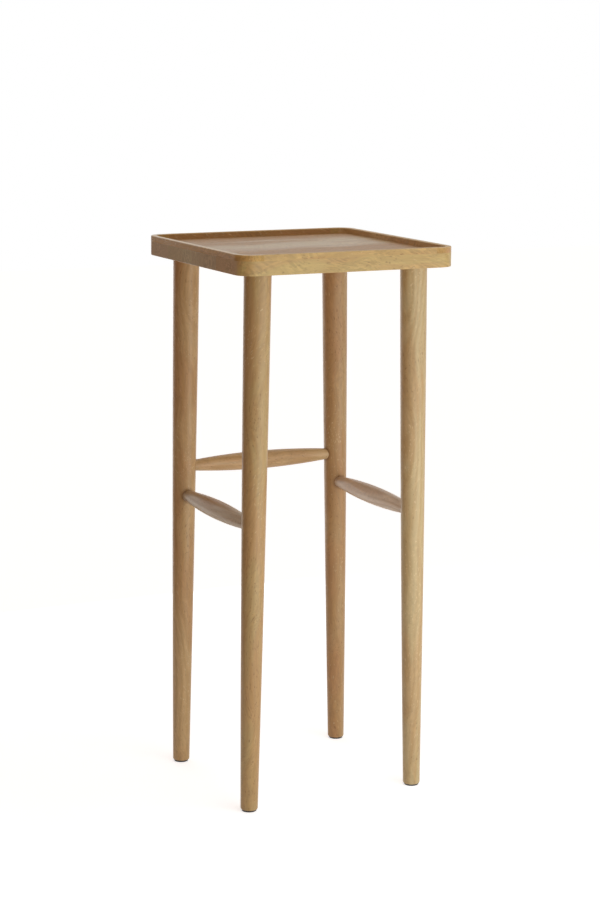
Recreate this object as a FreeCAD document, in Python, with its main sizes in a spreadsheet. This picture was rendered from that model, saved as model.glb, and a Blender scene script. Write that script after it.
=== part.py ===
"""A tall plant stand: a square tray of glued boards with a raised rim, on four turned legs tied by three
turned stretchers. Millimetres, +Z up, +X to the right along the front, origin on the floor under the tray's
centre."""
import math
import os

import FreeCAD
import Part
import Sketcher

Vector = FreeCAD.Vector

SIZES = [
    # Overall
    ("stand_height", 717),
    ("tray_side", 300),
    # Tray: a panel of boards glued edge to edge, with four rim strips glued round its top
    ("panel_thickness", 18),
    ("board_count", 4),
    ("rim_height", 7.5),
    ("rim_wall", 7.5),
    ("corner_radius", 22),
    ("rim_return", 8),
    ("edge_round", 1),
    # Legs: turned about an axis that leans out to the side, cut level at the tray and at the floor
    ("leg_inset", 40.5),
    ("leg_splay", 9.5),
    ("leg_top_diameter", 34.4),
    ("leg_middle_diameter", 30.2),
    ("leg_foot_diameter", 22.4),
    ("foot_round", 2),
    ("level_allowance", 0.5),
    # Joints of legs and tray: a round tenon on each leg in a blind socket under the panel
    ("leg_tenon_diameter", 20),
    ("socket_floor", 4),
    # Stretchers: cigar-shaped, with a round tenon at each end in a blind mortise in the leg
    ("back_stretcher_height", 410),
    ("side_stretcher_height", 372),
    ("stretcher_middle_diameter", 24.5),
    ("stretcher_tenon_diameter", 15),
    ("mortise_past_axis", 5),
    # Fits shared by all glued joints: around a tenon, beyond its end, and the bevel on that end
    ("tenon_clearance", 0.1),
    ("glue_room", 1),
    ("tenon_bevel", 1),
    # Glides: a thin disc nailed under each foot
    ("glide_diameter", 19),
    ("glide_thickness", 2),
    ("glide_round", 0.6),
    ("nail_head_recess", 0.4),
    ("nail_head_thickness", 0.8),
    ("nail_head_diameter", 6),
    ("nail_diameter", 1.8),
    ("nail_length", 14),
    ("nail_point", 3),
    ("nail_clearance", 0.05),
]

# Heights and places that follow from the sizes
HALF = "(dims.tray_side / 2)"
FLOOR = "(dims.stand_height - dims.rim_height)"
UNDERSIDE = f"({FLOOR} - dims.panel_thickness)"
SOCKET_DEPTH = "(dims.panel_thickness - dims.socket_floor)"
RIM_INSIDE = f"({HALF} - dims.rim_wall)"
RIM_JOINT = f"({HALF} - dims.corner_radius - dims.rim_return)"
INNER_RADIUS = "(dims.corner_radius - dims.rim_wall)"
BOARD_WIDTH = "(dims.tray_side / round(dims.board_count))"

# A leg's axis leans by LEAN about the point where it meets the floor
LEG_OFF_CENTRE = f"({HALF} - dims.leg_inset)"
FOOT_OFF_CENTRE = f"({LEG_OFF_CENTRE} + dims.leg_splay)"
LEAN = f"atan(dims.leg_splay / {UNDERSIDE})"
SHOULDER = f"({UNDERSIDE} / cos({LEAN}))"
SWELL_START = "(dims.glide_thickness + dims.foot_round)"
SWELL_END = f"({SHOULDER} + dims.level_allowance)"
SWELL_POLE = "(dims.leg_middle_diameter - (dims.leg_top_diameter + dims.leg_foot_diameter) / 4)"

MORTISE_RADIUS = "(dims.stretcher_tenon_diameter / 2 + dims.tenon_clearance)"
NAIL_SEAT = "(dims.nail_head_recess + dims.nail_head_thickness)"
NAIL_TIP = f"({NAIL_SEAT} + dims.nail_length)"
NAIL_HOLE_RADIUS = "(dims.nail_diameter / 2 + dims.nail_clearance)"
NAIL_HEAD_HOLE_RADIUS = "(dims.nail_head_diameter / 2 + dims.nail_clearance)"

# Each corner's name, with its side along X and along Y
CORNERS = {
    "front_left": (-1, -1),
    "front_right": (1, -1),
    "back_right": (1, 1),
    "back_left": (-1, 1),
}

# How a sketch numbers its two axes, the points of a line, arc or circle, and its origin point
H_AXIS, V_AXIS = range(-1, -3, -1)
START, END, CENTRE = range(1, 4)
ORIGIN = (H_AXIS, START)

# Two places closer than this are the same
SAME_PLACE = 1e-6

FULL_TURN = 360


def foot_place(side_x, side_y):
    """Where a leg's axis meets the floor."""
    return f"{side_x} * {FOOT_OFF_CENTRE}", f"{side_y} * {LEG_OFF_CENTRE}"


def leg_lean_at(height):
    """How far a leg's axis has come in from its foot at a height."""
    return f"(dims.leg_splay * ({height}) / {UNDERSIDE})"


def leg_radius_at(height):
    """A leg's radius at a height: a parabola through the foot, the middle and the top."""
    along = f"((({height}) - {SWELL_START}) / ({SWELL_END} - {SWELL_START}))"
    foot = f"(1 - {along}) * (1 - {along}) * dims.leg_foot_diameter / 2"
    pole = f"2 * {along} * (1 - {along}) * {SWELL_POLE}"
    top = f"{along} * {along} * dims.leg_top_diameter / 2"
    return f"({foot} + {pole} + {top})"


doc = FreeCAD.newDocument("plant_stand")
dims = doc.addObject("Spreadsheet::Sheet", "dims")
for row, (alias, size) in enumerate(SIZES, start=1):
    dims.set(f"A{row}", alias)
    dims.set(f"B{row}", str(size))
    dims.setAlias(f"B{row}", alias)
doc.recompute()


def value(expression):
    """The number that an expression has now."""
    result = dims.evalExpression(expression)
    return float(getattr(result, "Value", result))


def new_body(label, x="0", y="0", z="0", turn=0):
    """A body placed at bound coordinates, turned about Z by a number of degrees."""
    body = doc.addObject("PartDesign::Body", label)
    body.Label = label
    body.Placement = FreeCAD.Placement(Vector(0, 0, 0), FreeCAD.Rotation(Vector(0, 0, 1), turn))
    for axis, place in (("x", x), ("y", y), ("z", z)):
        if place != "0":
            body.setExpression(f"Placement.Base.{axis}", place)
    return body


def new_sketch(body, name, role, x="0", y="0", z="0", turn=None):
    """A sketch on one of the body's own planes, shifted in that plane's axes and turned about its normal."""
    plane = next(feature for feature in body.Origin.OriginFeatures if feature.Role == role)
    sketch = body.newObject("Sketcher::SketchObject", f"{body.Name}_{name}")
    sketch.AttachmentSupport = [(plane, "")]
    sketch.MapMode = "FlatFace"
    sketch.AttachmentOffset = FreeCAD.Placement(Vector(0, 0, 0), FreeCAD.Rotation(Vector(0, 0, 1), 0))
    for axis, place in (("x", x), ("y", y), ("z", z)):
        if place != "0":
            sketch.setExpression(f"AttachmentOffset.Base.{axis}", place)
    if turn:
        sketch.setExpression("AttachmentOffset.Rotation.Angle", turn)
    return sketch


def bind(sketch, kind, references, expression):
    """Adds a dimension to a sketch and ties it to the sheet."""
    index = sketch.addConstraint(Sketcher.Constraint(kind, *references, value(expression)))
    sketch.setExpression(f"Constraints[{index}]", expression)


def pin(sketch, geometry, end, x, y):
    """Fixes a point of a sketch at bound coordinates, or on an axis where a coordinate is 0."""
    for kind, place, axis in (("DistanceX", x, V_AXIS), ("DistanceY", y, H_AXIS)):
        if place == "0":
            sketch.addConstraint(Sketcher.Constraint("PointOnObject", geometry, end, axis))
        else:
            bind(sketch, kind, (*ORIGIN, geometry, end), place)


def arc_between(start, end, radius, side):
    """The shorter arc of a radius between two points, bulging to the left (1) or right (-1) of the way."""
    chord = end - start
    half = chord.Length / 2
    rise = radius - math.sqrt(max(radius * radius - half * half, 0))
    sideways = Vector(-chord.y, chord.x, 0).normalize()
    return Part.Arc(start, (start + end) / 2 + sideways * (side * rise), end)


def closed_outline(sketch, points, curves=None):
    """A closed outline through points given as pairs of expressions. Its stretches are straight, except
    those in curves, keyed by the number of the point that they start from: ("arc", radius, side) or
    ("spline", x, y), the place of its one pole between the ends."""
    curves = curves or {}
    places = [Vector(value(x), value(y), 0) for x, y in points]
    stretches = []
    for number, start in enumerate(places):
        end = places[(number + 1) % len(places)]
        form, *details = curves.get(number, ("line",))
        if form == "line":
            geometry = sketch.addGeometry(Part.LineSegment(start, end), False)
        elif form == "arc":
            radius, side = details
            geometry = sketch.addGeometry(arc_between(start, end, value(radius), side), False)
            bind(sketch, "Radius", (geometry,), radius)
        else:
            pole_x, pole_y = details
            spline = Part.BSplineCurve()
            poles = [start, Vector(value(pole_x), value(pole_y), 0), end]
            spline.buildFromPolesMultsKnots(poles, [3, 3], [0, 1], False, 2)
            geometry = sketch.addGeometry(spline, False)
            sketch.exposeInternalGeometry(geometry)
            # The poles follow the spline as circles: the middle one of three comes second
            pin(sketch, geometry + 2, CENTRE, pole_x, pole_y)
        stretches.append((geometry, *drawn_ends(sketch, geometry, start)))
    for number, (geometry, first, last) in enumerate(stretches):
        following, following_first, _ = stretches[(number + 1) % len(stretches)]
        sketch.addConstraint(Sketcher.Constraint("Coincident", geometry, last, following, following_first))
        pin(sketch, geometry, first, *points[number])


def drawn_ends(sketch, geometry, start):
    """The two ends of a stretch in the order of the outline: an arc may be stored the other way round."""
    from_start = sketch.getPoint(geometry, START).distanceToPoint(start)
    from_end = sketch.getPoint(geometry, END).distanceToPoint(start)
    return (START, END) if from_start < from_end else (END, START)


def square_outline(sketch, corners):
    """A closed outline of level and upright lines through corners (x, y, radius or None), rounded where a
    radius is given."""
    count = len(corners)
    places = [Vector(value(x), value(y), 0) for x, y, _ in corners]
    radii = [value(radius) if radius else 0 for _, _, radius in corners]
    lines = []
    for number, start in enumerate(places):
        end = places[(number + 1) % count]
        way = (end - start).normalize()
        line = Part.LineSegment(start + way * radii[number], end - way * radii[(number + 1) % count])
        lines.append(sketch.addGeometry(line, False))
        x, y, _ = corners[number]
        if abs(way.x) > abs(way.y):
            sketch.addConstraint(Sketcher.Constraint("Horizontal", lines[-1]))
            bind(sketch, "DistanceY", (*ORIGIN, lines[-1], START), y)
        else:
            sketch.addConstraint(Sketcher.Constraint("Vertical", lines[-1]))
            bind(sketch, "DistanceX", (*ORIGIN, lines[-1], START), x)
    for number, (_, _, radius) in enumerate(corners):
        before, after = lines[number - 1], lines[number]
        if not radius:
            sketch.addConstraint(Sketcher.Constraint("Coincident", before, END, after, START))
            continue
        first, last = sketch.getPoint(before, END), sketch.getPoint(after, START)
        turn = (first - places[number - 1]).cross(last - first).z
        arc = sketch.addGeometry(arc_between(first, last, radii[number], -math.copysign(1, turn)), False)
        arc_first, arc_last = drawn_ends(sketch, arc, first)
        sketch.addConstraint(Sketcher.Constraint("Tangent", before, END, arc, arc_first))
        sketch.addConstraint(Sketcher.Constraint("Tangent", after, START, arc, arc_last))
        bind(sketch, "Radius", (arc,), radius)


def circle(sketch, x, y, radius):
    """A circle about bound coordinates."""
    centre = Vector(value(x), value(y), 0)
    geometry = sketch.addGeometry(Part.Circle(centre, Vector(0, 0, 1), value(radius)), False)
    pin(sketch, geometry, CENTRE, x, y)
    bind(sketch, "Radius", (geometry,), radius)


def feature(body, kind, name, sketch):
    """A sketch-based feature of a body."""
    made = body.newObject(f"PartDesign::{kind}", f"{body.Name}_{name}")
    made.Profile = (sketch, [""])
    return made


def turned(body, name, sketch, axis):
    """A solid turned about one of its sketch's axes."""
    made = feature(body, "Revolution", name, sketch)
    made.ReferenceAxis = (sketch, [axis])
    made.Angle = FULL_TURN
    doc.recompute()
    return made


def padded(body, name, sketch, length):
    """A solid of a bound length on its sketch."""
    made = feature(body, "Pad", name, sketch)
    made.setExpression("Length", length)
    doc.recompute()
    return made


def cut(body, kind, name, sketch, **settings):
    """A feature that has to take wood away."""
    before = body.Shape.Volume
    made = feature(body, kind, name, sketch)
    for setting, choice in settings.items():
        setattr(made, setting, choice)
    doc.recompute()
    if not made.Shape.Volume < before:
        raise RuntimeError(f"{made.Name} takes nothing away")
    return made


def rounded_edges(body, name, wanted):
    """Rounds over the edges of the body's last feature that a test picks."""
    base = body.Tip
    names = [f"Edge{number}" for number, edge in enumerate(base.Shape.Edges, start=1) if wanted(edge)]
    made = body.newObject("PartDesign::Fillet", f"{body.Name}_{name}")
    made.Base = (base, names)
    made.setExpression("Radius", "dims.edge_round")
    doc.recompute()
    return made


def level_at(edge, height):
    """Whether an edge lies flat at a height."""
    box = edge.BoundBox
    return abs(box.ZMin - height) < SAME_PLACE and abs(box.ZMax - height) < SAME_PLACE


def on_line(edge, axis, place):
    """Whether the whole edge has one coordinate."""
    return all(abs(getattr(vertex.Point, axis) - place) < SAME_PLACE for vertex in edge.Vertexes)


def board_edge(number):
    """Where the edge between two boards lies, counted from the front."""
    return f"({number} * {BOARD_WIDTH} - {HALF})"


def make_board(number, count):
    """A board of the tray's panel. The outer ones have the panel's rounded corners, and the legs' sockets
    are bored into the boards that they meet."""
    body = new_body(f"tray_board_{number + 1}")
    front, back = board_edge(number), board_edge(number + 1)
    front_round = "dims.corner_radius" if number == 0 else None
    back_round = "dims.corner_radius" if number == count - 1 else None
    outline = new_sketch(body, "outline", "XY_Plane", z=UNDERSIDE)
    square_outline(outline, [
        (f"-{HALF}", front, front_round),
        (HALF, front, front_round),
        (HALF, back, back_round),
        (f"-{HALF}", back, back_round),
    ])
    padded(body, "board", outline, "dims.panel_thickness")
    glued = [value(edge) for edge, outside in ((front, front_round), (back, back_round)) if not outside]
    underside = value(UNDERSIDE)
    rounded_edges(body, "bottom_edges", lambda edge: level_at(edge, underside)
                  and not any(on_line(edge, "y", place) for place in glued))
    reach = value("dims.leg_tenon_diameter / 2 + dims.tenon_clearance")
    for side_y in (-1, 1):
        bored = side_y * value(LEG_OFF_CENTRE)
        if bored + reach > value(front) and bored - reach < value(back):
            for side_x in (-1, 1):
                bore_socket(body, side_x, side_y)
    return body


def bore_socket(body, side_x, side_y):
    """A blind socket for a leg's tenon, bored along the leg's own axis."""
    hand = ("left" if side_x < 0 else "right") + ("_front" if side_y < 0 else "_back")
    sketch = new_sketch(body, f"socket_{hand}", "XZ_Plane", x=f"{side_x} * {FOOT_OFF_CENTRE}",
                        z=f"{-side_y} * {LEG_OFF_CENTRE}", turn=f"{side_x} * {LEAN}")
    mouth = f"({SHOULDER} - dims.leg_tenon_diameter / 2)"
    end = f"({SHOULDER} + {SOCKET_DEPTH})"
    radius = "(dims.leg_tenon_diameter / 2 + dims.tenon_clearance)"
    closed_outline(sketch, [("0", mouth), (radius, mouth), (radius, end), ("0", end)])
    cut(body, "Groove", f"bored_{hand}", sketch, ReferenceAxis=(sketch, ["V_Axis"]), Angle=FULL_TURN)


def make_side_rim(label, side):
    """A rim strip that runs from front to back and turns the corner at both ends."""
    body = new_body(label)
    outline = new_sketch(body, "outline", "XY_Plane", z=FLOOR)
    joint = f"{side} * {RIM_JOINT}"
    outside = f"{side} * {HALF}"
    inside = f"{side} * {RIM_INSIDE}"
    square_outline(outline, [
        (joint, f"-{HALF}", None),
        (outside, f"-{HALF}", "dims.corner_radius"),
        (outside, HALF, "dims.corner_radius"),
        (joint, HALF, None),
        (joint, RIM_INSIDE, None),
        (inside, RIM_INSIDE, INNER_RADIUS),
        (inside, f"-{RIM_INSIDE}", INNER_RADIUS),
        (joint, f"-{RIM_INSIDE}", None),
    ])
    padded(body, "strip", outline, "dims.rim_height")
    top = value("dims.stand_height")
    joint_at = value(joint)
    rounded_edges(body, "top_edges", lambda edge: level_at(edge, top) and not on_line(edge, "x", joint_at))
    return body


def make_end_rim(label, side):
    """A straight rim strip that butts between the two side strips."""
    body = new_body(label)
    outline = new_sketch(body, "outline", "XY_Plane", z=FLOOR)
    inside, outside = f"{side} * {RIM_INSIDE}", f"{side} * {HALF}"
    square_outline(outline, [
        (f"-{RIM_JOINT}", inside, None),
        (RIM_JOINT, inside, None),
        (RIM_JOINT, outside, None),
        (f"-{RIM_JOINT}", outside, None),
    ])
    padded(body, "strip", outline, "dims.rim_height")
    top = value("dims.stand_height")
    joint_at = value(RIM_JOINT)
    rounded_edges(body, "top_edges", lambda edge: level_at(edge, top)
                  and not on_line(edge, "x", joint_at) and not on_line(edge, "x", -joint_at))
    return body


def make_leg(corner, side_x, side_y):
    """A turned leg with its tenon, cut level at both ends, with its mortises and its nail hole."""
    body = new_body(f"leg_{corner}", *foot_place(side_x, side_y))
    lean = f"{side_x} * {LEAN}"
    foot, top = "(dims.leg_foot_diameter / 2)", "(dims.leg_top_diameter / 2)"
    sole = "(dims.leg_foot_diameter / 2 - dims.foot_round)"
    low = "(dims.glide_thickness - dims.level_allowance)"
    profile = new_sketch(body, "profile", "XZ_Plane", turn=lean)
    closed_outline(profile, [
        ("0", low),
        (sole, low),
        (sole, "dims.glide_thickness"),
        (foot, SWELL_START),
        (top, SWELL_END),
        ("0", SWELL_END),
    ], {
        2: ("arc", "dims.foot_round", -1),
        3: ("spline", SWELL_POLE, f"(({SWELL_START} + {SWELL_END}) / 2)"),
    })
    turned(body, "turned", profile, "V_Axis")

    above = new_sketch(body, "tray_level", "XY_Plane", z=UNDERSIDE)
    circle(above, f"{-side_x} * dims.leg_splay", "0", "dims.leg_top_diameter")
    cut(body, "Pocket", "level_top", above, Type="ThroughAll", Reversed=True)
    below = new_sketch(body, "glide_level", "XY_Plane", z="dims.glide_thickness")
    circle(below, "0", "0", "dims.leg_foot_diameter")
    cut(body, "Pocket", "level_foot", below, Type="ThroughAll")

    tenon = new_sketch(body, "tenon_profile", "XZ_Plane", turn=lean)
    radius = "(dims.leg_tenon_diameter / 2)"
    root = f"({SHOULDER} - dims.leg_tenon_diameter / 2)"
    end = f"({SHOULDER} + {SOCKET_DEPTH} - dims.glue_room)"
    closed_outline(tenon, [
        ("0", root),
        (radius, root),
        (radius, f"({end} - dims.tenon_bevel)"),
        (f"({radius} - dims.tenon_bevel)", end),
        ("0", end),
    ])
    turned(body, "tenon", tenon, "V_Axis")

    height = "dims.side_stretcher_height"
    side_mouth = new_sketch(body, "side_mortise_mouth", "XZ_Plane", z=f"{-side_y} * dims.mortise_past_axis")
    circle(side_mouth, f"{-side_x} * {leg_lean_at(height)}", height, MORTISE_RADIUS)
    cut(body, "Pocket", "side_mortise", side_mouth, Type="ThroughAll", Reversed=side_y > 0)
    if side_y > 0:
        height = "dims.back_stretcher_height"
        back_mouth = new_sketch(body, "back_mortise_mouth", "YZ_Plane",
                                z=f"{side_x} * (dims.mortise_past_axis - {leg_lean_at(height)})")
        circle(back_mouth, "0", height, MORTISE_RADIUS)
        cut(body, "Pocket", "back_mortise", back_mouth, Type="ThroughAll", Reversed=side_x < 0)

    nail = new_sketch(body, "nail_mouth", "XY_Plane", z="dims.glide_thickness")
    circle(nail, "0", "0", NAIL_HOLE_RADIUS)
    hole = cut(body, "Pocket", "nail_hole", nail, Type="Length", Reversed=True)
    hole.setExpression("Length", f"{NAIL_TIP} - dims.glide_thickness")
    return body


def make_stretcher(label, height, half_span, x="0", y="0", turn=0):
    """A stretcher turned about its length: an arc from leg to leg, with a tenon on each end."""
    body = new_body(label, x, y, height, turn)
    tenon = "(dims.stretcher_tenon_diameter / 2)"
    leg_face = f"({half_span} - {leg_radius_at(height)})"
    tip = f"({half_span} + dims.mortise_past_axis - dims.glue_room)"
    neck = f"({tip} - dims.tenon_bevel)"
    nose = f"({tenon} - dims.tenon_bevel)"
    rise = f"(dims.stretcher_middle_diameter / 2 - {tenon})"
    swell = f"(({leg_face} * {leg_face} + {rise} * {rise}) / (2 * {rise}))"
    profile = new_sketch(body, "profile", "XZ_Plane")
    closed_outline(profile, [
        (f"-{tip}", "0"),
        (f"-{tip}", nose),
        (f"-{neck}", tenon),
        (f"-{leg_face}", tenon),
        (leg_face, tenon),
        (neck, tenon),
        (tip, nose),
        (tip, "0"),
    ], {3: ("arc", swell, 1)})
    turned(body, "turned", profile, "H_Axis")
    return body


def make_glide(corner, side_x, side_y):
    """A thin round glide with a countersunk nail hole."""
    body = new_body(f"glide_{corner}", *foot_place(side_x, side_y))
    rim = "(dims.glide_diameter / 2)"
    profile = new_sketch(body, "profile", "XZ_Plane")
    closed_outline(profile, [
        (NAIL_HEAD_HOLE_RADIUS, "0"),
        (f"({rim} - dims.glide_round)", "0"),
        (rim, "dims.glide_round"),
        (rim, "dims.glide_thickness"),
        (NAIL_HOLE_RADIUS, "dims.glide_thickness"),
        (NAIL_HOLE_RADIUS, NAIL_SEAT),
        (NAIL_HEAD_HOLE_RADIUS, NAIL_SEAT),
    ], {1: ("arc", "dims.glide_round", -1)})
    turned(body, "turned", profile, "V_Axis")
    return body


def make_nail(corner, side_x, side_y):
    """The nail that holds a glide, with its head sunk above the floor."""
    body = new_body(f"glide_nail_{corner}", *foot_place(side_x, side_y))
    head, shank = "(dims.nail_head_diameter / 2)", "(dims.nail_diameter / 2)"
    profile = new_sketch(body, "profile", "XZ_Plane")
    closed_outline(profile, [
        ("0", "dims.nail_head_recess"),
        (head, "dims.nail_head_recess"),
        (head, NAIL_SEAT),
        (shank, NAIL_SEAT),
        (shank, f"({NAIL_TIP} - dims.nail_point)"),
        ("0", NAIL_TIP),
    ])
    turned(body, "turned", profile, "V_Axis")
    return body


board_count = round(value("dims.board_count"))
pieces = [make_board(number, board_count) for number in range(board_count)]
pieces += [make_side_rim("rim_left", -1), make_side_rim("rim_right", 1)]
pieces += [make_end_rim("rim_front", -1), make_end_rim("rim_back", 1)]
for corner_name, sides in CORNERS.items():
    pieces.append(make_leg(corner_name, *sides))
    pieces.append(make_glide(corner_name, *sides))
    pieces.append(make_nail(corner_name, *sides))
back_height = "dims.back_stretcher_height"
back_half_span = f"({FOOT_OFF_CENTRE} - {leg_lean_at(back_height)})"
pieces.append(make_stretcher("stretcher_back", back_height, back_half_span, y=LEG_OFF_CENTRE))
side_height = "dims.side_stretcher_height"
side_off_centre = f"({FOOT_OFF_CENTRE} - {leg_lean_at(side_height)})"
for label, side in (("stretcher_left", -1), ("stretcher_right", 1)):
    place = f"{side} * {side_off_centre}"
    pieces.append(make_stretcher(label, side_height, LEG_OFF_CENTRE, x=place, turn=90))
doc.recompute()

for made in doc.Objects:
    if "Invalid" in made.State or "Error" in made.State:
        raise RuntimeError(f"{made.Name} failed: {made.State}")
for sketch in doc.findObjects("Sketcher::SketchObject"):
    if not sketch.FullyConstrained:
        raise RuntimeError(f"{sketch.Name} is not fully constrained")
for piece in pieces:
    if piece.Shape.isNull() or not piece.Shape.isValid() or len(piece.Shape.Solids) != 1:
        raise RuntimeError(f"{piece.Label} is not one valid solid")

os.makedirs("parts", exist_ok=True)
for piece in pieces:
    piece.Shape.exportStep(f"parts/{piece.Label}.step")
print(f"{len(pieces)} pieces written")
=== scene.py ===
"""Looks for a tall wooden plant stand: lacquered mango wood for the tray, legs and stretchers, plastic glides
with steel nails under the feet, and a plain white studio."""

import math

import bpy
from mathutils import Matrix, Vector


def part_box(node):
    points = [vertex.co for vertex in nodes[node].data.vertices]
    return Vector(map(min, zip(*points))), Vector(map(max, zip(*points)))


bl_info = {
    "name": "Plant Stand Looks",
    "version": (1, 0, 0),
    "blender": (4, 5, 0),
    "location": "View3D > Sidebar > Plant Stand",
    "description": "Finishes each piece of a wooden plant stand and sets up its studio",
    "category": "Object",
}

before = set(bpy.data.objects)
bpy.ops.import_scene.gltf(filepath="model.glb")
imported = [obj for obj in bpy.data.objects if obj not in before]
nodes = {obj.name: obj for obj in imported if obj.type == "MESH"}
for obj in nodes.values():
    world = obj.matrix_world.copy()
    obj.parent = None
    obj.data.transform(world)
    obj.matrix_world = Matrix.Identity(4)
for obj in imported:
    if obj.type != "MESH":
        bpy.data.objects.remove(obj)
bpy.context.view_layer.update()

MM = 0.001

BOARDS = range(1, 5)
CORNERS = ("front_left", "front_right", "back_right", "back_left")

# How rough the top of each of the rim's strips is, where a highlight is painted
RIM_TOPS = {"front": 0.48, "back": 0.56, "left": 0.3, "right": 0.44}

# The way that each stretcher runs, and how deep its tenons sit in the legs in mm
STRETCHERS = {"back": Vector((1, 0, 0)), "left": Vector((0, 1, 0)), "right": Vector((0, 1, 0))}
TENON = 19.4

# How each piece was cut from the tree: how far the heart passes from the piece's middle in mm, the way that
# the grain runs, how far along the trunk it was cut in mm, its own colour, its colour where it is cut across
# the grain, the share of redder wood in it, and how rough its lacquer is
TIMBER = {
    "tray_board_1": ((0, 42, 4), (1, 0.03, 0.06), 140, "#C6AD70", "#C6B193", 0.05, 0.38),
    "tray_board_2": ((0, -37, -20), (1, 0.1, 0.02), 610, "#C9AD80", "#C3BBA2", 0.1, 0.39),
    "tray_board_3": ((0, 52, -37), (1, 0.08, -0.08), 1130, "#CCB488", "#CCC8AC", 0.05, 0.38),
    "tray_board_4": ((0, 24, -20), (1, 0.1, 0.02), 1720, "#C9AC7C", "#D0C6B0", 0.1, 0.39),
    "rim_front": ((0, 14, -109), (1, 0.02, 0.03), 2300, "#C8A96C", "#B69B7A", 0.1, 0.42),
    "rim_back": ((0, -132, 38), (1, 0.03, -0.02), 2900, "#BB905A", "#B69B7A", 0.4, 0.5),
    "rim_left": ((-25, 0, -165), (0.02, 1, 0.03), 3500, "#BE9656", "#C9A968", 0.2, 0.5),
    "rim_right": ((-158, 0, -122), (0.03, 1, 0.02), 4100, "#CBA670", "#B89758", 0.2, 0.38),
    "leg_front_left": ((-96, 44, 0), (0.05, -0.02, 1), 700, "#B79C6A", "#B69B7A", 0.15, 0.38),
    "leg_front_right": ((-106, -10, 0), (0.02, 0.02, 1), 2100, "#C4AF82", "#B69B7A", 0.05, 0.38),
    "leg_back_right": ((-50, -47, 0), (-0.02, -0.02, 1), 3500, "#BD9E71", "#B69B7A", 0.2, 0.38),
    "leg_back_left": ((44, -120, 0), (-0.02, 0.03, 1), 4900, "#C6A676", "#B69B7A", 0.2, 0.38),
    "stretcher_back": ((0, -254, -108), (1, 0.04, 0.03), 5600, "#D1B384", "#B69B7A", 0.15, 0.38),
    "stretcher_left": ((0, 0, 78), (-0.01, 1, 0.01), 6200, "#CABA9C", "#B69B7A", 0.1, 0.38),
    "stretcher_right": ((0, 0, 78), (-0.01, 1, 0.01), 6900, "#E7D6C0", "#B69B7A", 0.1, 0.38),
}

# The wood's patterns: their sizes in mm across and along the grain, their slant to the grain in degrees,
# their detail, and how far in mm each one bends those after it to either side. Fibre, pores and flecks are
# really 0.3 mm wide or less, and are drawn coarser to show.
FIGURE = (
    ("wander", 60, 140, 0, 1, 13),
    ("tone", 26, 170, 0, 2.5, 0),
    ("curl", 26, 42, 0, 0, 7),
    ("streak", 3, 30, 0, 1, 0),
    ("feather", 3.2, 20, 30, 1, 0),
    ("fibre", 1.6, 40, 0, 1, 0),
    ("pore", 1.3, 5, 0, 0, 0),
    ("fleck", 1.2, 8, 20, 0, 0),
)

# The length in which the wave texture draws one ring at a scale of 1
WAVE_RING = 2 * math.pi / 20

# How strongly the patches gather the flecks, and drive out the pores
PATCH_PULL = 0.3

# How much redder the heartwood is, how far the share of redder wood strays from a piece's own, and how much
# of its own colour the end grain takes on
HEART_SHARE = 0.7
TONE_SPREAD = 0.3
END_SHARE = 0.6

# How far to either side of their middle the patterns that stray both ways count
REACH = {"tone": 0.3, "curl": 0.2, "streak": 0.4, "feather": 0.3, "fibre": 0.4}

# From where to where each pattern counts, and what it gives at both ends: the share of another colour, or how
# bright the colour is. Shade is painted on the legs within a few mm of where each stretcher meets them.
SHARES = (
    ("ring", 0.3, 1.0, 0, 0.3),
    ("streak", -REACH["streak"], REACH["streak"], 0.96, 1.04),
    ("fibre", -REACH["fibre"], REACH["fibre"], 0.97, 1.03),
    ("pore", 0.5, 0.66, 0, 0.45),
    ("fleck", 0.49, 0.62, 0, 0.5),
    ("joint", 8 * MM, 11.5 * MM, 0.6, 0),
    ("end", 0.93, 0.995, 0, END_SHARE),
)

# How far below the rim's top, in mm on its rounded edge, the painted highlight starts to show and is whole
PAINTED_HIGHLIGHT_FROM = 1.2
PAINTED_HIGHLIGHT_TO = 0.5

# What heartwood adds to the lacquer's roughness, how far the fibre makes it vary to either side, and how
# rough end grain is
HEART_ROUGHNESS = 0.14
FIBRE_ROUGHNESS = 0.05
END_ROUGHNESS = 0.8

# How many times as long as wide the die's marks on the nails are
DRAWN_OUT = 20


def linear(colour):
    """An sRGB hex colour as linear red, green and blue."""
    parts = [int(colour[place:place + 2], 16) / 255 for place in (1, 3, 5)]
    return tuple(part / 12.92 if part <= 0.04045 else ((part + 0.055) / 1.055) ** 2.4 for part in parts)


def add(tree, kind, inputs=None, **settings):
    """Adds a node to a tree, with its settings, and fills its inputs with values or links."""
    made = tree.nodes.new(kind)
    for setting, choice in settings.items():
        setattr(made, setting, choice)
    for name, given in (inputs or {}).items():
        if isinstance(given, bpy.types.NodeSocket):
            tree.links.new(given, made.inputs[name])
        else:
            made.inputs[name].default_value = given
    return made


def new_tree(name):
    """An empty material and its node tree."""
    material = bpy.data.materials.new(name)
    material.use_nodes = True
    material.node_tree.nodes.clear()
    return material, material.node_tree


def finish_node(node, material):
    """Gives a node of the frame its finished material."""
    slots = nodes[node].material_slots
    if not slots:
        raise RuntimeError(f"{node} has no material slot")
    for slot in slots:
        slot.material = material


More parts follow.
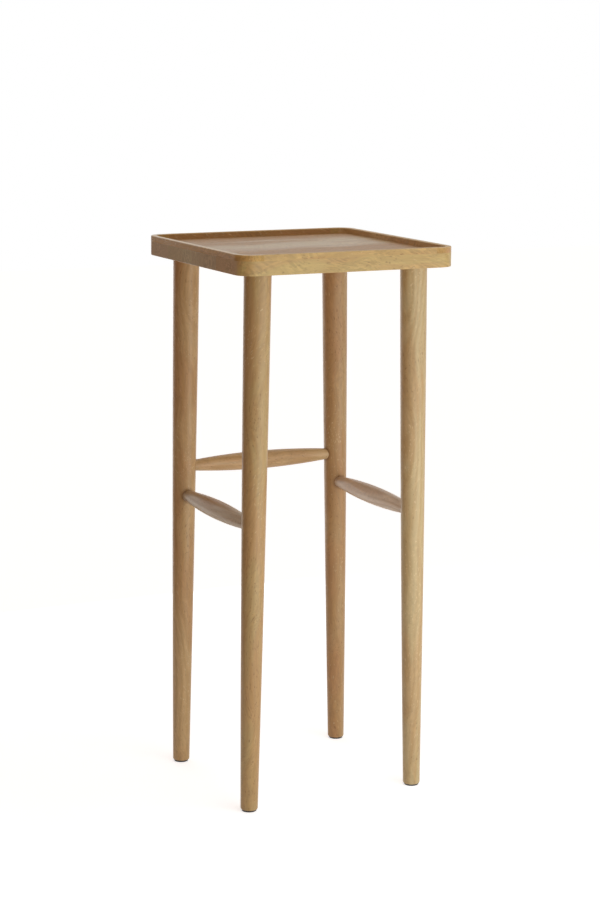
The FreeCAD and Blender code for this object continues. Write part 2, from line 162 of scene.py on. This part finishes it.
class PlantStandWood(bpy.types.PropertyGroup):
    """The wood's colours and the sizes of its figure"""
    brown: bpy.props.FloatVectorProperty(
        name="Ring", description="Colour of the darker part of each ring",
        subtype="COLOR", min=0, max=1, default=linear("#AB8650"))
    warm: bpy.props.FloatVectorProperty(
        name="Warm wood", description="Colour of the redder stretches",
        subtype="COLOR", min=0, max=1, default=linear("#B6885A"))
    pore: bpy.props.FloatVectorProperty(
        name="Pore", description="Colour of the fine open pores",
        subtype="COLOR", min=0, max=1, default=linear("#7E5A34"))
    fleck: bpy.props.FloatVectorProperty(
        name="Fleck", description="Colour of the pale flecks",
        subtype="COLOR", min=0, max=1, default=linear("#E0CBA0"))
    # A highlight painted along the rim's top: a paler colour
    painted_top_highlight: bpy.props.FloatVectorProperty(
        name="Painted top highlight", description="Colour of the highlight painted along the rim's top",
        subtype="COLOR", min=0, max=1, default=linear("#EACD90"))
    ring_width: bpy.props.FloatProperty(
        name="Ring width", description="Growth of the tree in one season, in mm", min=1, default=8)
    sapwood: bpy.props.FloatProperty(
        name="Sapwood", description="How far from the heart the paler sapwood starts, in mm",
        min=8, default=60)
    planed_figure: bpy.props.FloatProperty(
        name="Planed figure", description="How strongly the feathered figure shows on the boards and strips",
        subtype="FACTOR", min=0, max=1, default=0.12)
    turned_figure: bpy.props.FloatProperty(
        name="Turned figure", description="How strongly the feathered figure shows on the turned pieces",
        subtype="FACTOR", min=0, max=1, default=0.04)
    # How strongly the highlight is painted along the rim's top
    painted_highlight_share: bpy.props.FloatProperty(
        name="Painted highlight share", description="How much of its own colour the highlight painted along the rim's top has",
        subtype="FACTOR", min=0, max=1, default=0.6)


class PlantStandGlides(bpy.types.PropertyGroup):
    """The colours and the grain of the glides and their nails"""
    plastic: bpy.props.FloatVectorProperty(
        name="Plastic", description="Colour of the glides", subtype="COLOR", min=0, max=1,
        default=linear("#211D1A"))
    plastic_pale: bpy.props.FloatVectorProperty(
        name="Pale plastic", description="Colour of the glides where their grain stands up",
        subtype="COLOR", min=0, max=1, default=linear("#34302C"))
    grain: bpy.props.FloatProperty(
        name="Grain", description="Width of the grain on the glides, in mm", min=0.1, default=0.8)
    steel: bpy.props.FloatVectorProperty(
        name="Steel", description="Colour of the nails in the marks of the die",
        subtype="COLOR", min=0, max=1, default=linear("#9C9A96"))
    steel_bright: bpy.props.FloatVectorProperty(
        name="Bright steel", description="Colour of the nails between the marks of the die",
        subtype="COLOR", min=0, max=1, default=linear("#C9C7C2"))
    die_mark: bpy.props.FloatProperty(
        name="Die mark", description="Width of the marks that the die left on the nails, in mm",
        min=0.05, default=0.3)


class PlantStandStudio(bpy.types.PropertyGroup):
    """The camera, the lights, the card and the floor"""
    camera_place: bpy.props.FloatVectorProperty(
        name="Camera", description="Where the camera stands", subtype="XYZ", unit="LENGTH",
        default=(-1.27842, -2.57695, 0.99123))
    camera_yaw: bpy.props.FloatProperty(
        name="Yaw", description="Turn of the camera to the right of straight ahead", subtype="ANGLE",
        default=math.radians(26.47))
    camera_pitch: bpy.props.FloatProperty(
        name="Pitch", description="Tilt of the camera below level", subtype="ANGLE",
        default=math.radians(10.81))
    camera_roll: bpy.props.FloatProperty(
        name="Roll", description="Lean of the camera, against the clock", subtype="ANGLE",
        default=math.radians(0.42))
    lens: bpy.props.FloatProperty(
        name="Lens", description="Focal length for a picture 36 mm tall", subtype="DISTANCE_CAMERA", min=1,
        default=89.26)
    key_place: bpy.props.FloatVectorProperty(
        name="Softbox", description="Where the middle of the low softbox stands",
        subtype="XYZ", unit="LENGTH", default=(0.27, -0.78, 0.35))
    key_width: bpy.props.FloatProperty(
        name="Softbox width", description="Width of both softboxes", unit="LENGTH", min=0.1, default=1.0)
    key_height: bpy.props.FloatProperty(
        name="Softbox height", description="Height of both softboxes, which end below the tray's rim",
        unit="LENGTH", min=0.1, default=0.7)
    key_power: bpy.props.FloatProperty(
        name="Softbox power", description="Power of the low softbox", unit="POWER", min=0, default=3.85)
    fill_place: bpy.props.FloatVectorProperty(
        name="Fill", description="Where the middle of the softbox behind the stand is",
        subtype="XYZ", unit="LENGTH", default=(0.0, 0.95, 0.35))
    fill_power: bpy.props.FloatProperty(
        name="Fill power", description="Power of the softbox behind the stand",
        unit="POWER", min=0, default=1.5)
    card_place: bpy.props.FloatVectorProperty(
        name="Card", description="Where the middle of the brown card stands",
        subtype="XYZ", unit="LENGTH", default=(-0.5, 0.0, 0.63))
    card_width: bpy.props.FloatProperty(
        name="Card width", description="Width of the brown card", unit="LENGTH", min=0.1, default=1.2)
    card_height: bpy.props.FloatProperty(
        name="Card height", description="Height of the brown card", unit="LENGTH", min=0.1, default=1.06)
    card_colour: bpy.props.FloatVectorProperty(
        name="Card colour", description="Colour of the brown card",
        subtype="COLOR", min=0, max=1, default=linear("#A9948A"))
    floor_side: bpy.props.FloatProperty(
        name="Floor side", description="Length of the paper floor's sides", unit="LENGTH", min=1, default=12)
    floor_colour: bpy.props.FloatVectorProperty(
        name="Floor", description="Colour of the paper on the floor",
        subtype="COLOR", min=0, max=1, default=linear("#F0F3F7"))
    floor_lift: bpy.props.FloatProperty(
        name="Floor lift", description="What the camera sees added to the floor, so that it looks white",
        subtype="FACTOR", min=0, max=1, default=0.62)
    room_light: bpy.props.FloatProperty(
        name="Room light", description="Strength of the light from all round", subtype="FACTOR", min=0, max=1,
        default=0.49)
    room_colour: bpy.props.FloatVectorProperty(
        name="Room colour", description="Colour of the light from all round",
        subtype="COLOR", min=0, max=1, default=linear("#FFF2E8"))


def joints_on(leg):
    """Where the stretchers run into a leg: short of their tips by the tenons."""
    leg_low, leg_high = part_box(leg)
    joints = []
    for side, along in STRETCHERS.items():
        low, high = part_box(f"stretcher_{side}")
        for way in (-along, along):
            tip = (low + high) / 2 + way * along.dot(high - low) / 2
            if all(least < at < most for least, at, most in zip(leg_low, tip, leg_high)):
                joints.append(tip - way * TENON * MM)
    return joints


def timber_patterns(tree, place, wood, node, joints):
    """What growth left in a piece of timber, as values over its surface, with how far away the heart and the
    nearest joint are, and how squarely the surface cuts the grain."""
    heart, grain, cut_at = TIMBER[node][:3]
    low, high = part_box(node)
    timber = add(tree, "ShaderNodeMapping", {
        "Vector": place.outputs["Object"],
        "Location": (low + high) / 2 + (Vector(heart) + Vector(grain) * cut_at) * MM,
        "Rotation": Vector(grain).to_track_quat("Z", "Y").to_euler(),
    }, vector_type="TEXTURE")

    grown = timber.outputs[0]
    pattern = {}
    for kind, across, along, slant, detail, bend in FIGURE:
        scaled = add(tree, "ShaderNodeMapping", {
            "Vector": grown, "Rotation": (math.radians(slant), 0, 0),
            "Scale": Vector((across, across, along)) * MM}, vector_type="TEXTURE")
        noise = add(tree, "ShaderNodeTexNoise", {
            "Vector": scaled.outputs[0], "Scale": 1, "Detail": detail}, normalize=False)
        pattern[kind] = noise.outputs["Fac"]
        # The rings wander as the tree did, but don't curl
        if kind == "curl":
            rings = add(tree, "ShaderNodeTexWave", {
                "Vector": grown, "Scale": WAVE_RING / (wood.ring_width * MM), "Detail": 0,
            }, wave_type="RINGS", rings_direction="Z", wave_profile="SIN")
            pattern["ring"] = rings.outputs["Fac"]
        if bend:
            bent = add(tree, "ShaderNodeVectorMath", {
                0: noise.outputs["Color"], 1: [bend * MM] * 3, 2: grown}, operation="MULTIPLY_ADD")
            grown = bent.outputs[0]

    # Dark pores and pale flecks come in separate patches
    for kind, pull in (("pore", -PATCH_PULL), ("fleck", PATCH_PULL)):
        drawn = add(tree, "ShaderNodeMath", {
            0: pattern["wander"], 1: pull, 2: pattern[kind]}, operation="MULTIPLY_ADD")
        pattern[kind] = drawn.outputs[0]

    beside = add(tree, "ShaderNodeVectorMath", {0: grown, 1: (1, 1, 0)}, operation="MULTIPLY")
    radius = add(tree, "ShaderNodeVectorMath", {0: beside.outputs[0]}, operation="LENGTH")
    pattern["heart"] = radius.outputs["Value"]
    facing = add(tree, "ShaderNodeVectorMath", {
        0: place.outputs["Normal"], 1: Vector(grain).normalized()}, operation="DOT_PRODUCT")
    squarely = add(tree, "ShaderNodeMath", {0: facing.outputs["Value"]}, operation="ABSOLUTE")
    pattern["end"] = squarely.outputs[0]
    # Shade is painted on the legs round each stretcher's joint, by how far each point is from the nearest
    # joint
    for joint in joints:
        away = add(tree, "ShaderNodeVectorMath", {
            0: place.outputs["Object"], 1: joint}, operation="DISTANCE")
        nearest = away.outputs["Value"]
        if "joint" in pattern:
            nearer = add(tree, "ShaderNodeMath", {0: nearest, 1: pattern["joint"]}, operation="MINIMUM")
            nearest = nearer.outputs[0]
        pattern["joint"] = nearest
    return pattern


def mango_wood(name, wood, node, feather, painted_top_highlight=0, top_roughness=0, joints=()):
    """Mango wood, planed or turned and finished in satin lacquer: broad soft rings that wander, streaks that
    swirl, a feathered figure across them, a fine fibre along the grain, short dark pores, pale flecks,
    painted shade round the stretchers' joints, redder heartwood, a duller end grain, and a painted highlight
    along the rim's top, paler, with a lacquer roughness of its own."""
    own, cut, warmth, roughness = TIMBER[node][3:]
    material, tree = new_tree(name)
    place = add(tree, "ShaderNodeTexCoord")
    pattern = timber_patterns(tree, place, wood, node, joints)
    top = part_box(node)[1].z
    # A highlight is painted along the rim's top: paler wood that fades in towards its top edge
    if painted_top_highlight:
        height = add(tree, "ShaderNodeSeparateXYZ", {0: place.outputs["Object"]})
        pattern["top"] = height.outputs["Z"]

    # The feathered figure comes and goes in patches
    patch = add(tree, "ShaderNodeMapRange", {
        0: pattern["curl"], 1: -REACH["curl"], 2: REACH["curl"], 3: 0, 4: feather})
    dim = add(tree, "ShaderNodeMath", {0: 1, 1: patch.outputs[0]}, operation="SUBTRACT")
    lit = add(tree, "ShaderNodeMath", {0: 1, 1: patch.outputs[0]}, operation="ADD")

    share = {}
    for kind, start, end, first, last in (
            *SHARES,
            ("feather", -REACH["feather"], REACH["feather"], dim.outputs[0], lit.outputs[0]),
            ("tone", -REACH["tone"], REACH["tone"], warmth - TONE_SPREAD, warmth + TONE_SPREAD),
            ("heart", (wood.sapwood - wood.ring_width) * MM, (wood.sapwood + wood.ring_width) * MM,
             HEART_SHARE, 0),
            ("top", top - PAINTED_HIGHLIGHT_FROM * MM, top - PAINTED_HIGHLIGHT_TO * MM, 0, painted_top_highlight)):
        if kind in pattern:
            ranged = add(tree, "ShaderNodeMapRange", {
                0: pattern[kind], 1: start, 2: end, 3: first, 4: last})
            share[kind] = ranged.outputs[0]

    # The joint share paints shade round the stretchers' joints
    colour = (*linear(own), 1)
    # The top share paints a highlight along the rim's top
    for kind, to in (("tone", wood.warm), ("heart", wood.warm), ("ring", wood.brown), ("pore", wood.pore),
                     ("fleck", wood.fleck), ("end", linear(cut)), ("joint", wood.pore), ("top", wood.painted_top_highlight)):
        if kind in share:
            mixed = add(tree, "ShaderNodeMix", {0: share[kind], 6: colour, 7: (*to, 1)}, data_type="RGBA")
            colour = mixed.outputs[2]
    for kind in ("streak", "feather", "fibre"):
        shaded = add(tree, "ShaderNodeVectorMath", {0: colour, "Scale": share[kind]}, operation="SCALE")
        colour = shaded.outputs[0]

    dull = add(tree, "ShaderNodeMapRange", {
        0: share["end"], 1: 0, 2: END_SHARE, 3: roughness, 4: END_ROUGHNESS})
    fine = add(tree, "ShaderNodeMapRange", {
        0: pattern["fibre"], 1: -REACH["fibre"], 2: REACH["fibre"],
        3: -FIBRE_ROUGHNESS, 4: FIBRE_ROUGHNESS})
    rough = add(tree, "ShaderNodeMath", {0: dull.outputs[0], 1: fine.outputs[0]}, operation="ADD")
    rough = add(tree, "ShaderNodeMath", {
        0: share["heart"], 1: HEART_ROUGHNESS, 2: rough.outputs[0]}, operation="MULTIPLY_ADD")
    if painted_top_highlight:
        rough = add(tree, "ShaderNodeMapRange", {
            0: share["top"], 1: 0, 2: painted_top_highlight, 3: rough.outputs[0], 4: top_roughness})
    bump = add(tree, "ShaderNodeBump", {"Strength": 0.12, "Distance": 0.1 * MM, "Height": pattern["fibre"]})
    surface = add(tree, "ShaderNodeBsdfPrincipled", {
        "Base Color": colour, "Roughness": rough.outputs[0], "IOR": 1.48, "Specular IOR Level": 0.42,
        "Normal": bump.outputs[0]})
    add(tree, "ShaderNodeOutputMaterial", {"Surface": surface.outputs[0]})
    return material


class PLANTSTAND_OT_boards(bpy.types.Operator):
    """Finishes the boards of the tray's panel"""
    bl_idname = "plant_stand.boards"
    bl_label = "Tray Boards"

    def execute(self, context):
        wood = context.scene.plant_stand_wood
        for number in BOARDS:
            node = f"tray_board_{number}"
            finish_node(node, mango_wood(f"planed_mango_board_{number}", wood, node, wood.planed_figure))
        return {"FINISHED"}


class PLANTSTAND_OT_rim(bpy.types.Operator):
    """Finishes the four strips of the tray's rim"""
    bl_idname = "plant_stand.rim"
    bl_label = "Tray Rim"

    def execute(self, context):
        wood = context.scene.plant_stand_wood
        for side, top_roughness in RIM_TOPS.items():
            node = f"rim_{side}"
            finish_node(node, mango_wood(
                f"planed_mango_rim_{side}", wood, node, wood.planed_figure, wood.painted_highlight_share, top_roughness))
        return {"FINISHED"}


class PLANTSTAND_OT_legs(bpy.types.Operator):
    """Finishes the four turned legs"""
    bl_idname = "plant_stand.legs"
    bl_label = "Legs"

    def execute(self, context):
        wood = context.scene.plant_stand_wood
        for corner in CORNERS:
            node = f"leg_{corner}"
            finish_node(node, mango_wood(
                f"turned_mango_leg_{corner}", wood, node, wood.turned_figure, joints=joints_on(node)))
        return {"FINISHED"}


class PLANTSTAND_OT_stretchers(bpy.types.Operator):
    """Finishes the three turned stretchers"""
    bl_idname = "plant_stand.stretchers"
    bl_label = "Stretchers"

    def execute(self, context):
        wood = context.scene.plant_stand_wood
        for side in STRETCHERS:
            node = f"stretcher_{side}"
            finish_node(node, mango_wood(f"turned_mango_stretcher_{side}", wood, node, wood.turned_figure))
        return {"FINISHED"}


class PLANTSTAND_OT_glides(bpy.types.Operator):
    """Finishes the glides under the feet and their nails"""
    bl_idname = "plant_stand.glides"
    bl_label = "Glides"

    def execute(self, context):
        glides = context.scene.plant_stand_glides

        # Moulded polyethylene, nearly black, with a fine matt grain that softens its edge. The grain is drawn
        # coarser than it is, to show.
        plastic, tree = new_tree("moulded_polyethylene")
        place = add(tree, "ShaderNodeTexCoord")
        grit = add(tree, "ShaderNodeTexNoise", {
            "Vector": place.outputs["Object"], "Scale": 1 / (glides.grain * MM), "Detail": 2})
        colour = add(tree, "ShaderNodeMix", {
            0: grit.outputs["Fac"], 6: (*glides.plastic, 1), 7: (*glides.plastic_pale, 1)}, data_type="RGBA")
        bump = add(tree, "ShaderNodeBump", {
            "Strength": 0.2, "Distance": 0.05 * MM, "Height": grit.outputs["Fac"]})
        surface = add(tree, "ShaderNodeBsdfPrincipled", {
            "Base Color": colour.outputs[2], "Roughness": 0.55, "IOR": 1.5, "Normal": bump.outputs[0]})
        add(tree, "ShaderNodeOutputMaterial", {"Surface": surface.outputs[0]})

        # Bright drawn steel wire with lengthwise die marks, drawn coarser than they are, to show
        steel, tree = new_tree("drawn_steel")
        place = add(tree, "ShaderNodeTexCoord")
        drawn = add(tree, "ShaderNodeMapping", {
            "Vector": place.outputs["Object"], "Scale": (1, 1, 1 / DRAWN_OUT)})
        marks = add(tree, "ShaderNodeTexNoise", {
            "Vector": drawn.outputs[0], "Scale": 1 / (glides.die_mark * MM), "Detail": 1})
        colour = add(tree, "ShaderNodeMix", {
            0: marks.outputs["Fac"], 6: (*glides.steel, 1), 7: (*glides.steel_bright, 1)}, data_type="RGBA")
        surface = add(tree, "ShaderNodeBsdfPrincipled", {
            "Base Color": colour.outputs[2], "Metallic": 1, "Roughness": 0.32})
        add(tree, "ShaderNodeOutputMaterial", {"Surface": surface.outputs[0]})

        for corner in CORNERS:
            finish_node(f"glide_{corner}", plastic)
            finish_node(f"glide_nail_{corner}", steel)
        return {"FINISHED"}


class PLANTSTAND_OT_stage(bpy.types.Operator):
    """Sets up the floor, the lights, the white surroundings and the camera"""
    bl_idname = "plant_stand.stage"
    bl_label = "Studio"

    def execute(self, context):
        scene = context.scene
        studio = scene.plant_stand_studio
        scene.view_settings.view_transform = "Standard"

        bpy.ops.object.select_all(action="DESELECT")
        bpy.ops.mesh.primitive_plane_add(size=studio.floor_side)
        floor = context.object
        floor.name = "floor"
        paper, floor_tree = new_tree("white_paper_floor")
        floor.data.materials.append(paper)
        world = bpy.data.worlds.new("studio_surroundings")
        scene.world = world
        world.use_nodes = True
        world.node_tree.nodes.clear()

        # What the camera and reflections see of the floor and the surroundings is white
        seen = {}
        for tree in (floor_tree, world.node_tree):
            path = add(tree, "ShaderNodeLightPath")
            either = add(tree, "ShaderNodeMath", {
                0: path.outputs["Is Camera Ray"], 1: path.outputs["Is Glossy Ray"]}, operation="MAXIMUM")
            any_of = add(tree, "ShaderNodeMath", {
                0: either.outputs[0], 1: path.outputs["Is Transmission Ray"]}, operation="MAXIMUM")
            seen[tree] = any_of.outputs[0]

        lift = add(floor_tree, "ShaderNodeMath", {
            0: seen[floor_tree], 1: studio.floor_lift}, operation="MULTIPLY")
        glow = add(floor_tree, "ShaderNodeEmission", {"Color": (1, 1, 1, 1), "Strength": lift.outputs[0]})
        matt = add(floor_tree, "ShaderNodeBsdfDiffuse", {"Color": (*studio.floor_colour, 1)})
        both = add(floor_tree, "ShaderNodeAddShader", {0: matt.outputs[0], 1: glow.outputs[0]})
        add(floor_tree, "ShaderNodeOutputMaterial", {"Surface": both.outputs[0]})

        tint = add(world.node_tree, "ShaderNodeMix", {
            0: seen[world.node_tree], 6: (*studio.room_colour, 1), 7: (1, 1, 1, 1)}, data_type="RGBA")
        strength = add(world.node_tree, "ShaderNodeMapRange", {
            0: seen[world.node_tree], 3: studio.room_light, 4: 1})
        light = add(world.node_tree, "ShaderNodeBackground", {
            "Color": tint.outputs[2], "Strength": strength.outputs[0]})
        add(world.node_tree, "ShaderNodeOutputWorld", {"Surface": light.outputs[0]})

        # A low softbox at the front, on the right, and a weaker one behind the stand
        for name, location, power in (("key_softbox", studio.key_place, studio.key_power),
                                      ("fill_softbox", studio.fill_place, studio.fill_power)):
            bpy.ops.object.light_add(type="AREA", location=location)
            softbox = context.object
            softbox.name = name
            softbox.data.shape = "RECTANGLE"
            softbox.data.size = studio.key_width
            softbox.data.size_y = studio.key_height
            softbox.data.energy = power
            aim = Vector((0, 0, softbox.location.z)) - softbox.location
            softbox.rotation_euler = aim.to_track_quat("-Z", "Y").to_euler()
            softbox.visible_camera = False

        # A brown card close to the left side keeps white light and reflections off it. It is made lying flat,
        # stood up and turned to face the stand.
        bpy.ops.mesh.primitive_plane_add(size=1)
        card = context.object
        card.name = "brown_card"
        bpy.ops.transform.resize(value=(studio.card_width, studio.card_height, 1))
        for axis in ("X", "Z"):
            bpy.ops.transform.rotate(
                value=math.radians(-90), orient_axis=axis, center_override=(0, 0, 0))
        bpy.ops.transform.translate(value=studio.card_place)
        bpy.ops.object.transform_apply(location=True, rotation=True, scale=True)
        felt, tree = new_tree("brown_felt_card")
        matt = add(tree, "ShaderNodeBsdfDiffuse", {"Color": (*studio.card_colour, 1)})
        add(tree, "ShaderNodeOutputMaterial", {"Surface": matt.outputs[0]})
        card.data.materials.append(felt)
        card.visible_camera = False

        bpy.ops.object.camera_add(location=studio.camera_place)
        camera = context.object
        camera.name = "camera"
        camera.data.lens = studio.lens
        turn = (Matrix.Rotation(-studio.camera_yaw, 3, "Z")
                @ Matrix.Rotation(math.pi / 2 - studio.camera_pitch, 3, "X")
                @ Matrix.Rotation(studio.camera_roll, 3, "Z"))
        camera.rotation_euler = turn.to_euler()
        scene.camera = camera
        return {"FINISHED"}


class PLANTSTAND_PT_looks(bpy.types.Panel):
    """Lists the steps that finish the plant stand"""
    bl_label = "Plant Stand"
    bl_idname = "PLANTSTAND_PT_looks"
    bl_space_type = "VIEW_3D"
    bl_region_type = "UI"
    bl_category = "Plant Stand"

    def draw(self, context):
        for step in STEPS:
            self.layout.operator(step.bl_idname)


STEPS = (
    PLANTSTAND_OT_boards,
    PLANTSTAND_OT_rim,
    PLANTSTAND_OT_legs,
    PLANTSTAND_OT_stretchers,
    PLANTSTAND_OT_glides,
    PLANTSTAND_OT_stage,
)
CLASSES = (PlantStandWood, PlantStandGlides, PlantStandStudio, *STEPS, PLANTSTAND_PT_looks)


def register():
    """Registers the classes and gives the scene their settings."""
    for kind in CLASSES:
        bpy.utils.register_class(kind)
    bpy.types.Scene.plant_stand_wood = bpy.props.PointerProperty(type=PlantStandWood)
    bpy.types.Scene.plant_stand_glides = bpy.props.PointerProperty(type=PlantStandGlides)
    bpy.types.Scene.plant_stand_studio = bpy.props.PointerProperty(type=PlantStandStudio)


def unregister():
    """Takes the settings and the classes away again."""
    del bpy.types.Scene.plant_stand_studio
    del bpy.types.Scene.plant_stand_glides
    del bpy.types.Scene.plant_stand_wood
    for kind in reversed(CLASSES):
        bpy.utils.unregister_class(kind)


def main():
    """Runs every step."""
    register()
    bpy.ops.plant_stand.boards()
    bpy.ops.plant_stand.rim()
    bpy.ops.plant_stand.legs()
    bpy.ops.plant_stand.stretchers()
    bpy.ops.plant_stand.glides()
    bpy.ops.plant_stand.stage()


if __name__ == "__main__":
    main()
